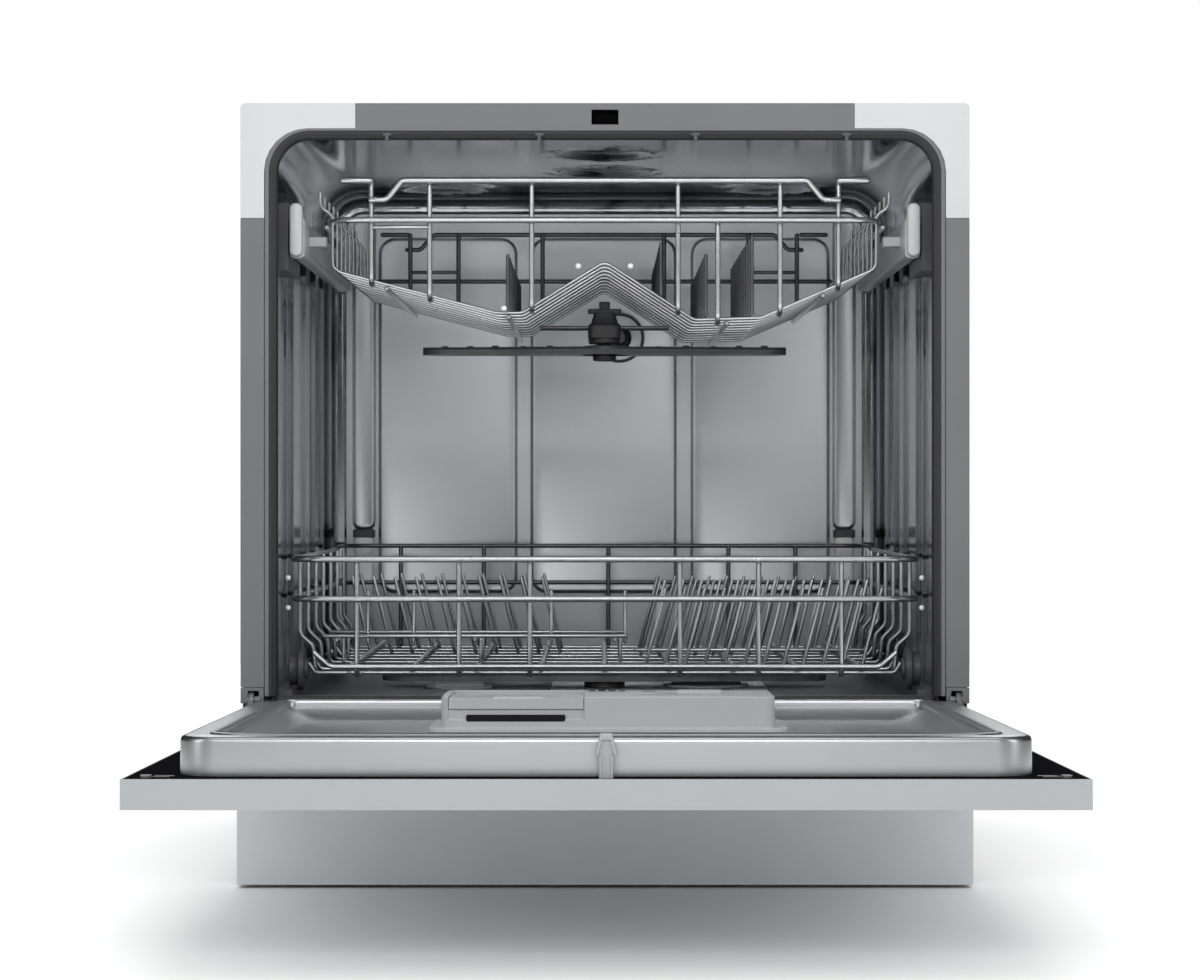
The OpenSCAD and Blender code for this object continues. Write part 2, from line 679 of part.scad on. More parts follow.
placed() side_panels();
placed() top_panel();
placed() rear_panel();
placed() base_tray();
placed() plinth_panel();
placed() levelling_feet();
placed() front_frame();
placed() corner_plates();
placed() door_gasket();
placed() tub_sides();
placed() tub_ceiling();
placed() tub_back();
placed() tub_floor();
placed() sump();
placed() filter_plate();
placed() wash_pump();
placed() drain_pump();
placed() inlet_valve();
placed() softener_tank();
placed() air_breather();
placed() control_box();
placed() hinge_brackets();
placed() door_springs();
placed() latch_catch();
placed() rail_brackets();
placed() feed_pipe();
placed() filter_cup();
placed() salt_cap();
placed() lower_spray_arm();
placed() roller_left_front();
placed() roller_left_rear();
placed() roller_right_front();
placed() roller_right_rear();
on_door() inner_door();
on_door() outer_panel();
on_door() panel_core();
on_door() control_fascia();
on_door() door_insulation();
on_door() hinge_arms();
on_door() latch_strike();
on_door() dispenser_body();
on_door() dispenser_lid();
on_door() rinse_cap();
on_door() door_screws();
placed() lower_basket_walls();
placed() lower_basket_floor();
placed() lower_tines_right();
placed() lower_tines_left();
placed() lower_fold_row();
placed() wheel_left_front();
placed() wheel_left_rear();
placed() wheel_right_front();
placed() wheel_right_rear();
placed() upper_basket_walls();
placed() upper_basket_floor();
placed() upper_tines();
placed() upper_rails();
placed() upper_arm_mount();
placed() upper_spray_arm();
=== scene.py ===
import json
import math

import bmesh
import bpy
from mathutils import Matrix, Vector


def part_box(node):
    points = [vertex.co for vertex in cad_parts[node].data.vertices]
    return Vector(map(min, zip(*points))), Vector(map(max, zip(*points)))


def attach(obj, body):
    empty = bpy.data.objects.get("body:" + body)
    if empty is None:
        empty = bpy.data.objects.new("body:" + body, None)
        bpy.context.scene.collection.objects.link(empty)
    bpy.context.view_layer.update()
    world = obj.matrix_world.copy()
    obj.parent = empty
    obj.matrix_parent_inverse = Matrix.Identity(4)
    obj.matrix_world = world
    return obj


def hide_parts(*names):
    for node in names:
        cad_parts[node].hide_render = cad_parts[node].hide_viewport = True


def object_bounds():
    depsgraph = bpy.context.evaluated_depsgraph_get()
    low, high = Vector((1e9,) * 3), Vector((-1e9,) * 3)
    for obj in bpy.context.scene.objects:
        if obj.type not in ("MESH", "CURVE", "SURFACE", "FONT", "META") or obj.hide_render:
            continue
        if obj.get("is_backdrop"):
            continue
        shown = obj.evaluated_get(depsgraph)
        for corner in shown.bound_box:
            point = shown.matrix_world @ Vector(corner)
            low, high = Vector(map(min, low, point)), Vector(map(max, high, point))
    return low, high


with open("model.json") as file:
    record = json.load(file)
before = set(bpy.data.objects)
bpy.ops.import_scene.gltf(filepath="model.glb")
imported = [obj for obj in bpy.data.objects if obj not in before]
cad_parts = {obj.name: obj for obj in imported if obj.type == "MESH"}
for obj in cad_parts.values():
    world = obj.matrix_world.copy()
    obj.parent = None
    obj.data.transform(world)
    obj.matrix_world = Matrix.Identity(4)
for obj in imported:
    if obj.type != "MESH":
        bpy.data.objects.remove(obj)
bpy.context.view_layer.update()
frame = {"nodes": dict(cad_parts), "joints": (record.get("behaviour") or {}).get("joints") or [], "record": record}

MM = 0.001
scene = bpy.context.scene
joints = {j["name"]: j for j in frame["joints"]}
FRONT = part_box("corner_plates")[0].y
PIVOT = Vector(joints["door_hinge"]["pos_m"])
_, DOOR_C, DOOR_S = joints["lid_slide"]["axis"]
DOOR_S = -DOOR_S


def cab(x, y, z):
    """A point in millimetres, y behind the cabinet's front plane."""
    return Vector((x * MM, FRONT + y * MM, z * MM))


def door(x, u, v):
    """A point in millimetres on the door: u from the hinge axis, v off the hinge plane."""
    return PIVOT + Vector((x, -u * DOOR_C + v * DOOR_S, u * DOOR_S + v * DOOR_C)) * MM


# ---- Camera and lights ----

LENS = 90.66
CAMERA_AT = (-3.8, -2300, 300.5)
camera = bpy.data.objects.new("camera", bpy.data.cameras.new("camera"))
scene.collection.objects.link(camera)
scene.camera = camera
camera.data.lens = LENS
camera.data.sensor_width = 36
camera.location = cab(*CAMERA_AT)
camera.rotation_euler = (math.radians(90), 0, 0)
camera.data.clip_end = 50


def area_light(name, place, aim, size, power):
    data = bpy.data.lights.new(name, "AREA")
    data.shape = "RECTANGLE"
    data.size, data.size_y = size
    data.energy = power
    lamp = bpy.data.objects.new(name, data)
    scene.collection.objects.link(lamp)
    lamp.location = place
    lamp.rotation_euler = (Vector(aim) - Vector(place)).to_track_quat("-Z", "Y").to_euler()


area_light("key", (0.0, -3.0, 1.9), (0, 0, 0.32), (1.5, 0.9), 18)
area_light("low_front", (0.0, -3.6, 0.9), (0, 0, 0.3), (2.6, 0.7), 5)
area_light("streak", (-0.5, -2.9, 2.3), (0, 0, 0.35), (2.4, 0.06), 6)
area_light("left", (-2.2, -1.5, 1.3), (0, -0.1, 0.2), (0.5, 1.6), 9)
area_light("right", (2.2, -1.5, 1.3), (0, -0.1, 0.2), (0.5, 1.6), 9)
area_light("top", (0.0, -0.5, 2.6), (0, 0, 0.3), (2.0, 1.2), 12)
area_light("rear", (0.0, 3.0, 1.6), (0, 0, 0.3), (2.0, 1.4), 22)

world = bpy.data.worlds.new("studio")
scene.world = world
world.use_nodes = True
world.node_tree.nodes["Background"].inputs["Color"].default_value = (1, 1, 1, 1)
world.node_tree.nodes["Background"].inputs["Strength"].default_value = 1.0
world.cycles_visibility.glossy = False
scene.view_settings.view_transform = "Standard"


# ---- Materials ----


def link_noise(tree, scale, stretch, detail=5.0):
    coords = tree.nodes.new("ShaderNodeTexCoord")
    mapping = tree.nodes.new("ShaderNodeMapping")
    noise = tree.nodes.new("ShaderNodeTexNoise")
    mapping.inputs["Scale"].default_value = stretch
    noise.inputs["Scale"].default_value = scale
    noise.inputs["Detail"].default_value = detail
    tree.links.new(coords.outputs["Object"], mapping.inputs["Vector"])
    tree.links.new(mapping.outputs["Vector"], noise.inputs["Vector"])
    return noise.outputs["Fac"]


def spread(tree, value, low, high):
    node = tree.nodes.new("ShaderNodeMapRange")
    node.inputs["From Min"].default_value = 0.3
    node.inputs["From Max"].default_value = 0.7
    node.inputs["To Min"].default_value = low
    node.inputs["To Max"].default_value = high
    tree.links.new(value, node.inputs["Value"])
    return node.outputs["Result"]


def surface(name, colour, rough, metal=0.0, grain=(1, 1, 1), grain_scale=900, bump=0.03,
            tint=0.05, rough_spread=0.06, blotch=9, **sockets):
    """A finish whose colour and gloss vary over the surface, and its relief where bump is set."""
    made = bpy.data.materials.new(name)
    made.use_nodes = True
    tree = made.node_tree
    shader = tree.nodes["Principled BSDF"]
    shader.inputs["Metallic"].default_value = metal
    for key, value in sockets.items():
        shader.inputs[key.replace("_", " ")].default_value = value
    fine = link_noise(tree, grain_scale, grain)
    broad = link_noise(tree, blotch, (1, 1, 1), 3.0)
    colours = tree.nodes.new("ShaderNodeValToRGB")
    ends = colours.color_ramp.elements
    ends[0].position, ends[1].position = 0.3, 0.7
    ends[0].color = (*[c * (1 - tint) for c in colour], 1)
    ends[1].color = (*[min(1, c * (1 + tint)) for c in colour], 1)
    tree.links.new(broad, colours.inputs["Fac"])
    tree.links.new(colours.outputs["Color"], shader.inputs["Base Color"])
    tree.links.new(spread(tree, fine, rough - rough_spread, rough + rough_spread),
                   shader.inputs["Roughness"])
    if bump:
        relief = tree.nodes.new("ShaderNodeBump")
        relief.inputs["Strength"].default_value = bump
        relief.inputs["Distance"].default_value = 0.001
        tree.links.new(fine, relief.inputs["Height"])
        tree.links.new(relief.outputs["Normal"], shader.inputs["Normal"])
    return made


# Scale of a grain that runs along X.
ALONG_X = (0.02, 1, 1)
MAT = {}


def paint(name, *values, **more):
    MAT[name] = surface(name, *values, **more)


paint("cabinet_steel", (0.52, 0.53, 0.54), 0.42, 0.85, bump=0.02, blotch=30, tint=0.025)
paint("black_plastic", (0.009, 0.009, 0.01), 0.5, bump=0.1, grain_scale=2200, Specular_IOR_Level=0.12)
paint("plinth_silver", (0.66, 0.685, 0.71), 0.42, 0.3, ALONG_X, 1500, 0.02, tint=0.02)
paint("frame_grey", (0.15, 0.152, 0.155), 0.42, 0.25, bump=0.04, grain_scale=2500)
paint("light_grey_plastic", (0.50, 0.505, 0.51), 0.34, bump=0.05, grain_scale=2400)
paint("seal_rubber", (0.022, 0.022, 0.024), 0.5, bump=0.08, grain_scale=1600)
paint("tub_steel", (0.60, 0.61, 0.63), 0.36, 1.0, grain_scale=2600, bump=0.004, tint=0.02,
      rough_spread=0.02, blotch=4)
paint("dark_plastic", (0.065, 0.066, 0.07), 0.38, bump=0.08, grain_scale=2200)
paint("white_plastic", (0.68, 0.68, 0.66), 0.42, bump=0.06, grain_scale=1800)
paint("grey_plastic", (0.24, 0.25, 0.26), 0.4, bump=0.06, grain_scale=1800)
paint("arm_grey", (0.055, 0.057, 0.062), 0.36, bump=0.08, grain_scale=2200)
paint("door_steel", (0.66, 0.67, 0.69), 0.36, 1.0, ALONG_X, 1400, 0.003, tint=0.02,
      rough_spread=0.03, blotch=6)
paint("panel_silver", (0.38, 0.40, 0.412), 0.42, 0.4, ALONG_X, 1700, 0.015, tint=0.015,
      rough_spread=0.03)
paint("fascia_black", (0.01, 0.01, 0.012), 0.1, bump=0.01, rough_spread=0.03)
paint("insulation", (0.08, 0.08, 0.085), 0.9, bump=0.7, grain_scale=500, tint=0.25)
paint("small_steel", (0.4, 0.4, 0.41), 0.4, 1.0, bump=0.03)
paint("strike_grey", (0.30, 0.31, 0.32), 0.36, bump=0.05, grain_scale=2000)
paint("basket_wire", (0.62, 0.63, 0.64), 0.3, 1.0, bump=0, grain_scale=60, rough_spread=0.03, blotch=20)
paint("wire_tip", (0.8, 0.8, 0.8), 0.35, bump=0.04)
# A darker copy of basket_wire: painted shade on the rear wires, tine rows and hub wires that sit deep in the tub.
paint("wire_painted_shade", (0.14, 0.142, 0.15), 0.34, 0.9, bump=0, grain_scale=60)
paint("tub_polished", (0.56, 0.57, 0.59), 0.13, 1.0, grain_scale=2600, bump=0.001, tint=0.02,
      rough_spread=0.02, blotch=4)
paint("hub_black", (0.026, 0.026, 0.028), 0.42, bump=0.08, grain_scale=2200)
paint("core_black", (0.006, 0.006, 0.007), 0.6, bump=0.1, grain_scale=2200, Specular_IOR_Level=0.0)
paint("dispenser_grey", (0.37, 0.372, 0.38), 0.3, bump=0.04, grain_scale=2400, tint=0.02)
# Near-white paints the bright reflection on the pillars, which stand in shade at the back of the tub.
paint("pillar_painted_sheen", (0.92, 0.92, 0.92), 0.3, bump=0.02, tint=0.02)
# Near-black steel that paints the shade in the creases of the ceiling recesses.
paint("recess_painted_shade", (0.09, 0.092, 0.096), 0.25, 1.0, bump=0.002, tint=0.04)
paint("arm_steel", (0.22, 0.22, 0.23), 0.45, 1.0, bump=0.01)

# CAD nodes that look different from the rest of their record slot.
LOOKS = {"hinge_arms": "arm_steel", "panel_core": "core_black", "dispenser_body": "dispenser_grey",
         "dispenser_lid": "dispenser_grey", "rinse_cap": "dispenser_grey", "salt_cap": "grey_plastic"}


# ---- Mesh building ----


def fillet(path, radius, steps=6):
    """An open line with its corners rounded."""
    out = [path[0]]
    for a, b, c in zip(path, path[1:], path[2:]):
        to_a, to_c = (a - b).normalized(), (c - b).normalized()
        angle = to_a.angle(to_c)
        if angle > math.pi - 0.02:
            out.append(b)
            continue
        cut = min(radius * MM / math.tan(angle / 2), 0.45 * (a - b).length, 0.45 * (c - b).length)
        centre = b + (to_a + to_c).normalized() * (cut / math.cos(angle / 2))
        start, end = b + to_a * cut - centre, b + to_c * cut - centre
        sweep = start.angle(end)
        for i in range(steps + 1):
            t = i / steps
            mix = start * math.sin((1 - t) * sweep) + end * math.sin(t * sweep)
            out.append(centre + mix / math.sin(sweep))
    out.append(path[-1])
    return out


class Shape:
    """Collects faces, then becomes one piece that rides on a body."""

    def __init__(self):
        self.verts, self.faces = [], []

    def add(self, verts, faces):
        base = len(self.verts)
        self.verts += verts
        self.faces += [tuple(i + base for i in f) for f in faces]

    def loft(self, rings, caps=True, round_trip=True):
        """Joins rings that have the same number of points."""
        n = len(rings[0])
        last = n if round_trip else n - 1
        faces = [(r * n + i, r * n + (i + 1) % n, (r + 1) * n + (i + 1) % n, (r + 1) * n + i)
                 for r in range(len(rings) - 1) for i in range(last)]
        if caps:
            faces += [tuple(reversed(range(n))), tuple(range((len(rings) - 1) * n, len(rings) * n))]
        self.add([p for ring in rings for p in ring], faces)

    def tube(self, path, diameter, bend=6, sides=12):
        """A round wire with eased ends."""
        pts = fillet([Vector(p) for p in path], bend)
        r = diameter * MM / 2
        first, final = (pts[1] - pts[0]).normalized(), (pts[-1] - pts[-2]).normalized()
        pts = [pts[0], pts[0] + first * r * 0.3, pts[0] + first * r] + pts[1:-1]
        pts += [path[-1] - final * r, path[-1] - final * r * 0.3, path[-1]]
        sizes = [0.45, 0.8] + [1.0] * (len(pts) - 4) + [0.8, 0.45]
        side, rings = None, []
        for i, p in enumerate(pts):
            ahead = (pts[min(i + 1, len(pts) - 1)] - pts[max(i - 1, 0)]).normalized()
            side = ahead.orthogonal() if side is None else side - ahead * side.dot(ahead)
            side.normalize()
            other = ahead.cross(side)
            rings.append([p + (side * math.cos(a) + other * math.sin(a)) * r * sizes[i]
                          for a in (2 * math.pi * k / sides for k in range(sides))])
        self.loft(rings)

    def lathe(self, profile, centre, axis, sides=48):
        """Turns (along the axis, radius) pairs, in millimetres, about an axis."""
        axis = Vector(axis).normalized()
        side = axis.orthogonal().normalized()
        other = axis.cross(side)
        self.loft([[centre + (axis * t + (side * math.cos(a) + other * math.sin(a)) * r) * MM
                    for a in (2 * math.pi * k / sides for k in range(sides))] for t, r in profile])

    def ball(self, centre, radius):
        self.lathe([(-radius * math.cos(a), max(0.05, radius * math.sin(a)))
                    for a in (math.pi * k / 10 for k in range(11))], centre, (0, 0, 1), 16)

    def piece(self, name, finish, body, *stands_for, sharp=32):
        mesh = bpy.data.meshes.new(name)
        mesh.from_pydata(self.verts, [], self.faces)
        work = bmesh.new()
        work.from_mesh(mesh)
        bmesh.ops.recalc_face_normals(work, faces=work.faces)
        work.to_mesh(mesh)
        work.free()
        mesh.shade_smooth()
        mesh.set_sharp_from_angle(angle=math.radians(sharp))
        mesh.materials.append(MAT[finish])
        made = bpy.data.objects.new(name, mesh)
        scene.collection.objects.link(made)
        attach(made, body)
        if stands_for:
            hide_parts(*stands_for)
        return made


def rounded(x0, x1, y0, y1, radii, steps=7):
    """The corner points of a rectangle with rounded corners; radii at (x1,y0) (x1,y1) (x0,y1) (x0,y0)."""
    out = []
    corners = [(x1, y0, -1, 1), (x1, y1, -1, -1), (x0, y1, 1, -1), (x0, y0, 1, 1)]
    for k, ((x, y, sx, sy), r) in enumerate(zip(corners, radii)):
        for i in range(steps + 1):
            a = math.radians(-90 + 90 * k + 90 * i / steps)
            out.append((x + sx * r + r * math.cos(a), y + sy * r + r * math.sin(a)))
    return out


# ---- Tub ----

TUB_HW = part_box("tub_ceiling")[1].x / MM
TUB_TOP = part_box("tub_ceiling")[0].z / MM
TUB_BACK = (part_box("tub_ceiling")[1].y - FRONT) / MM
TUB_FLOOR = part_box("tub_floor")[0].z / MM + 3
CORNER_R = 34
BACK_R = 18
EMBOSSES = [(0, 135), (0, 272), (-142, 412), (149, 412)]
RIBS = [96, 146, 248, 330, 410]


def bump_profile(distance, width, edge):
    """1 inside the width, easing to 0 over the edge."""
    t = min(1, max(0, (width + edge - abs(distance)) / edge))
    return t * t * (3 - 2 * t)


def tub_section():
    """Points of the tub's section with their inward directions, left foot to right foot."""
    out = []
    for i in range(15):
        out.append((-TUB_HW, TUB_FLOOR - 2 + (TUB_TOP - CORNER_R - TUB_FLOOR + 2) * i / 15, 1, 0))
    for i in range(11):
        a = math.radians(180 - 9 * i)
        out.append((-TUB_HW + CORNER_R + CORNER_R * math.cos(a),
                    TUB_TOP - CORNER_R + CORNER_R * math.sin(a), -math.cos(a), -math.sin(a)))
    left = list(out)
    for i in range(1, 88):
        out.append((-TUB_HW + CORNER_R + 2 * (TUB_HW - CORNER_R) * i / 88, TUB_TOP, 0, -1))
    return out + [(-x, z, -nx, nz) for x, z, nx, nz in reversed(left)]


walls = Shape()
rings = []
depths = [14 + (TUB_BACK - BACK_R - 14) * i / 118 for i in range(119)]
depths += [TUB_BACK - BACK_R + BACK_R * math.sin(math.radians(90 * i / 8)) for i in range(1, 9)]
for y in depths:
    inset = 0
    if y > TUB_BACK - BACK_R:
        inset = BACK_R - math.sqrt(max(0, BACK_R ** 2 - (y - TUB_BACK + BACK_R) ** 2))
    ring = []
    for x, z, nx, nz in tub_section():
        push = inset
        if abs(nx) == 1:
            fade = bump_profile(z - 345, 150, 28)
            push += fade * 2.4 * max(bump_profile(y - c, 4, 4) for c in RIBS)
        elif nx == 0:
            near = min(math.hypot(x - cx, y - cy) for cx, cy in EMBOSSES)
            push -= 4 * bump_profile(near, 30, 9)
            push += 1.6 * bump_profile(near, 43, 4) * (1 - bump_profile(near, 38, 3))
        ring.append(cab(x + nx * push, y, z + nz * push))
    rings.append(ring)
walls.loft(rings, caps=False, round_trip=False)
tub_walls = walls.piece("tub_walls", "tub_polished", "cabinet", "tub_sides", "tub_ceiling")
skin = tub_walls.modifiers.new("sheet", "SOLIDIFY")
skin.thickness = 0.8 * MM
skin.offset = -1


# Thin dark rings paint the shade in the crease of each ceiling recess.
recesses = Shape()
for x, y in EMBOSSES:
    recesses.lathe([(0, 31), (0.2, 31.4), (0.4, 31)], cab(x, y, TUB_TOP + 3.4), (0, 0, 1))
recesses.piece("ceiling_recess_shade", "recess_painted_shade", "cabinet")


def pad(shape, x0, x1, z0, z1, height, radius=13):
    """A shallow pressed panel on the back wall."""
    rings = []
    for grow, lift in [(2.6, 0.0), (1.4, 0.25), (0.4, 1.0), (-0.8, 1.25), (-2.2, 1.0)]:
        loop = rounded(x0 - grow, x1 + grow, z0 - grow, z1 + grow, [radius + grow] * 4)
        rings.append([cab(x, TUB_BACK - 0.05 - height * lift, z) for x, z in loop])
    shape.loft(rings)


back = Shape()
back.loft([[cab(x, y, z) for x, z in rounded(-TUB_HW, TUB_HW, TUB_FLOOR - 3, TUB_TOP, [1] * 4)]
           for y in (TUB_BACK, TUB_BACK + 0.9)])
for x0, x1 in ((-205, -82), (-65.4, 64.3), (81.8, 205)):
    pad(back, x0, x1, 208, 530, 1.5)
for side in (-1, 1):
    x0, x1 = sorted((side * 212, side * 229))
    pad(back, x0, x1, 266, 548, 1.5, 6)
back.piece("tub_rear_wall", "tub_steel", "cabinet", "tub_back", sharp=50)

pillars = Shape()
for side in (-1, 1):
    x0, x1 = sorted((side * 212, side * 229))
    pillars.loft([[cab(x, y, z) for x, y in rounded(x0, x1, 471.5, 480.2, [4.2, 0.3, 0.3, 4.2])]
                  for z in (200, 259)])
# The pillars' near-white finish is a painted reflection.
pillars.piece("tub_pillars", "pillar_painted_sheen", "cabinet")

caps = Shape()
for side in (-1, 1):
    x0, x1 = sorted((side * 210.5, side * 230.5))
    rings = []
    for z, grow in ((256.5, -1.6), (257.4, 0), (263.4, 0), (264.6, -1.4)):
        rings.append([cab(x, y, z) for x,
                      y in rounded(x0 - grow, x1 + grow, 470.5 - grow, 479.9, [3.4, 0.3, 0.3, 3.4])])
    caps.loft(rings)
caps.piece("tub_pillar_caps", "dark_plastic", "cabinet")

marks = Shape()


def wall_slot(s, y, z0, z1, width, bow=0.0):
    """A black sheet on a side wall, painted shade inside a narrow opening; bow curves it along the depth."""
    half = width / 2
    spine = [(y + bow * math.sin(math.pi * k / 12), z0 + (z1 - z0) * k / 12) for k in range(13)]
    ends = [(spine[0][0], z0 - half * 0.8), *spine, (spine[-1][0], z1 + half * 0.8)]
    loop = [(a + half * (0.4 if k in (0, 14) else 1), b) for k, (a, b) in enumerate(ends)]
    loop += [(a - half * (0.4 if k in (0, 14) else 1), b) for k,
             (a, b) in reversed(list(enumerate(ends)))]
    marks.loft([[cab(s * (TUB_HW - d), a, b) for a, b in loop] for d in (-0.1, 0.45)])


wall_slot(1, 393, 386, 468, 5)
wall_slot(1, 393, 340, 354, 9)
for s in (-1, 1):
    wall_slot(s, 300, 262, 300, 5, 7)
    wall_slot(s, 286, 266, 296, 4, 7)
# These black sheets paint the shade inside the side-wall openings.
marks.piece("wall_opening_shade", "black_plastic", "cabinet")

# ---- Seal ----

SEAL_HW, SEAL_TOP, SEAL_R, SEAL_FOOT = 249.6, 567.6, 25, 143.6
SEAL_PROFILE = [(9.6, 1.6), (6.4, 1.5), (5.6, 0.6), (4.4, 0.5), (3.4, 1.9), (1.6, 2.4), (0.1, 4.4),
                (0.2, 6.6), (1.5, 8.4), (1.0, 10.6), (0.4, 12.2), (0.9, 13.8), (9.6, 13.8)]
LIP_PROFILE = [(9.7, 1.4), (9.6, 0.5), (9.0, 0.1), (7.0, 0.1), (6.3, 0.5), (6.1, 1.4)]


def arch(hw, top, r, foot):
    out = [(-hw, foot + (top - r - foot) * i / 8) for i in range(8)]
    out += [(-hw + r - r * math.cos(a), top - r + r * math.sin(a))
            for a in (math.radians(7.5 * k) for k in range(13))]
    return out + [(-x, z) for x, z in reversed(out)]


seal = Shape()
lines = [arch(SEAL_HW + o, SEAL_TOP + o, SEAL_R + o, SEAL_FOOT) for o, _ in SEAL_PROFILE]
seal.loft([[cab(lines[j][i][0], SEAL_PROFILE[j][1], lines[j][i][1]) for j in range(len(lines))]
           for i in range(len(lines[0]))])
seal.loft([[cab(x, y, z) for y, z in rounded(0.3, 5.9, TUB_FLOOR + 0.1, 143.3, [1.6] * 4)]
           for x in (-248.8, 248.8)])
seal.piece("door_seal", "seal_rubber", "cabinet", "door_gasket", sharp=60)

lip = Shape()
lines = [arch(SEAL_HW + o, SEAL_TOP + o, SEAL_R + o, SEAL_FOOT) for o, _ in LIP_PROFILE]
lip.loft([[cab(lines[j][i][0], LIP_PROFILE[j][1], lines[j][i][1]) for j in range(len(lines))]
          for i in range(len(lines[0]))])
lip.piece("opening_lip", "frame_grey", "cabinet", sharp=60)

CLIP_XS = (-166, -50, 69, 184)
clips = Shape()
for x in CLIP_XS:
    clips.loft([[cab(a, y, b) for a, b in rounded(x - 3.2, x + 3.2, 570.4, 572.4, [0.6] * 4)]
                for y in (0.3, 3.4)])
    clips.loft([[cab(a, y, b) for a, b in rounded(x - 1.3, x + 1.3, 566.2, 571, [0.6] * 4)]
                for y in (0.5, 3.0)])
clips.piece("seal_clips", "dark_plastic", "cabinet")

# ---- Door ----

DOOR_LOOPS = [
    (266.5, 2, 431.4, -24.9), (266.5, 2, 431.4, -4), (266.1, 2.4, 431.0, -2), (265.0, 3.0, 429.8, -0.9),
    (262.6, 3.2, 427.4, -0.5), (250.0, 3.2, 415, -0.5), (249.3, 3.2, 414.2, 0.3),
    (247.6, 3.2, 412.5, 0.7), (245.6, 3.2, 410.5, 0.3), (244.8, 3.2, 409.6, -0.5),
    (243.2, 3.3, 407.4, -0.7), (242.2, 3.5, 406.2, -2), (241.8, 3.6, 405.8, -5), (236, 8, 401, -8.5),
    (226, 16.5, 392, -13.4), (222, 20, 388, -14.8), (219, 23, 385, -15)]
steel = Shape()
rings = []
for hw, near, far, v in DOOR_LOOPS:
    shrink = 266.5 - hw
    radii = [max(6, 12 - shrink * 0.1)] + [max(12, 24 - shrink * 0.25)] * 2 + [max(6, 12 - shrink * 0.1)]
    rings.append([door(x, u, v) for x, u in rounded(-hw, hw, near, far, radii)])
steel.loft(rings)
steel.piece("door_tray_panel", "door_steel", "door", "inner_door", sharp=40)

strike = Shape()
outline = [(-4.4, -25), (4.4, -25), (4.4, -10.4), (6.8, -10.4), (3.7, 2.6), (-3.7, 2.6), (-6.8, -10.4),
           (-4.4, -10.4)]
rings = []
for scale, u in ((0.94, 440.1), (1.0, 440.7), (1.0, 447.3), (0.93, 447.9), (0.72, 447.9), (0.68, 446.6)):
    rings.append([door(x * scale, u, -11 + (v + 11) * (scale if v > -20 else 1)) for x, v in outline])
strike.loft(rings)
strike.piece("latch_arrow", "strike_grey", "door", "latch_strike", sharp=40)

# Height of the dispenser's top above the hinge plane.
DISPENSER_V = 10
detail = Shape()
# The first black plate is painted shade filling the grip recess under the lid front; the two plates on top are
# dark marks.
detail.loft([[door(x, u, v) for x, v in rounded(-99, -28.5, -7.4, -2.6, [1.2] * 4)]
             for u in (149.2, 150.25)])
detail.loft([[door(x, u, v) for x, u in rounded(-12, 15, 54.5, 66, [0.8] * 4)]
             for v in (DISPENSER_V - 0.4, DISPENSER_V + 0.15)])
detail.loft([[door(x, u, v) for x, u in rounded(27, 38, 66, 70, [1.8] * 4)]
             for v in (DISPENSER_V - 0.3, DISPENSER_V + 0.12)])
detail.piece("dispenser_marks_and_grip_shade", "black_plastic", "door")
dots = Shape()
for x in (-6, 1.5, 9):
    dots.lathe([(0, 1.1), (0.25, 0.9)], door(x, 60, DISPENSER_V + 0.12), (0, DOOR_S, DOOR_C), 16)
dots.piece("dispenser_dots", "wire_tip", "door")

slots = Shape()
for s in (-1, 1):
    for x, u in ((274, 425), (276, 434), (274, 14), (276, 23)):
        slots.loft([[door(s * x + a, u + b, v) for a, b in rounded(-6.5, 6.5, -1.2, 1.2, [1.1] * 4, 3)]
                    for v in (-25.2, -24.75)])
slots.piece("panel_slots", "small_steel", "door")

# ---- Wires ----

LOW_FRONT, LOW_REAR = 35, 455
LOW_RAIL, LOW_MID, FLOOR_Z = 247, 216.3, 158
LOW_FRONT_POSTS = (-192, -113, -58, 58, 119, 183)
LOW_REAR_POSTS = (-185, -109.5, 3.7, 113, 174)
SHELF_YS, SHELF_Z = (70, 137), 186


def side_x(y):
    return 243 - 4 * (y - LOW_FRONT) / (LOW_REAR - LOW_FRONT)


low = Shape()
for z in (LOW_RAIL, LOW_MID):
    low.tube([cab(-242, 90, z), cab(-243, LOW_FRONT, z), cab(243, LOW_FRONT, z), cab(242, 90, z)], 5, 26)
low.tube([cab(-226, LOW_FRONT, 176), cab(-212, LOW_FRONT, 164), cab(212, LOW_FRONT, 164),
          cab(226, LOW_FRONT, 176)], 4, 8)
for x in LOW_FRONT_POSTS:
    low.tube([cab(x, LOW_FRONT + 4.5, LOW_RAIL + 1), cab(x, LOW_FRONT + 4.5, 157),
              cab(x, LOW_FRONT + 24, 157)], 4, 6)
low_rear = Shape()
for z in (249.7, LOW_MID):
    low_rear.tube([cab(-238, 400, z), cab(-237, LOW_REAR, z), cab(237, LOW_REAR, z),
                   cab(238, 400, z)], 4, 22)
for x in LOW_REAR_POSTS:
    low_rear.tube([cab(x, LOW_REAR - 4.1, 250), cab(x, LOW_REAR - 4.1, 157),
                   cab(x, LOW_REAR - 24, 157)], 4, 6)
# The rear wires take the darker wire finish, which is painted shade.
low_rear.piece("lower_basket_rear", "wire_painted_shade", "lower_basket")
for s in (-1, 1):
    for z in (LOW_RAIL, LOW_MID):
        low.tube([cab(s * side_x(80), 80, z), cab(s * side_x(415), 415, z)], 4)
    for i in range(7):
        y = 62 + i * 60
        x = side_x(y) - 4.6
        low.tube([cab(s * x, y, LOW_RAIL), cab(s * x, y, 188), cab(s * 228, y, 179),
                  cab(s * 226, y, 160)], 3.5, 7)
low.piece("lower_basket_frame", "basket_wire", "lower_basket", "lower_basket_walls")

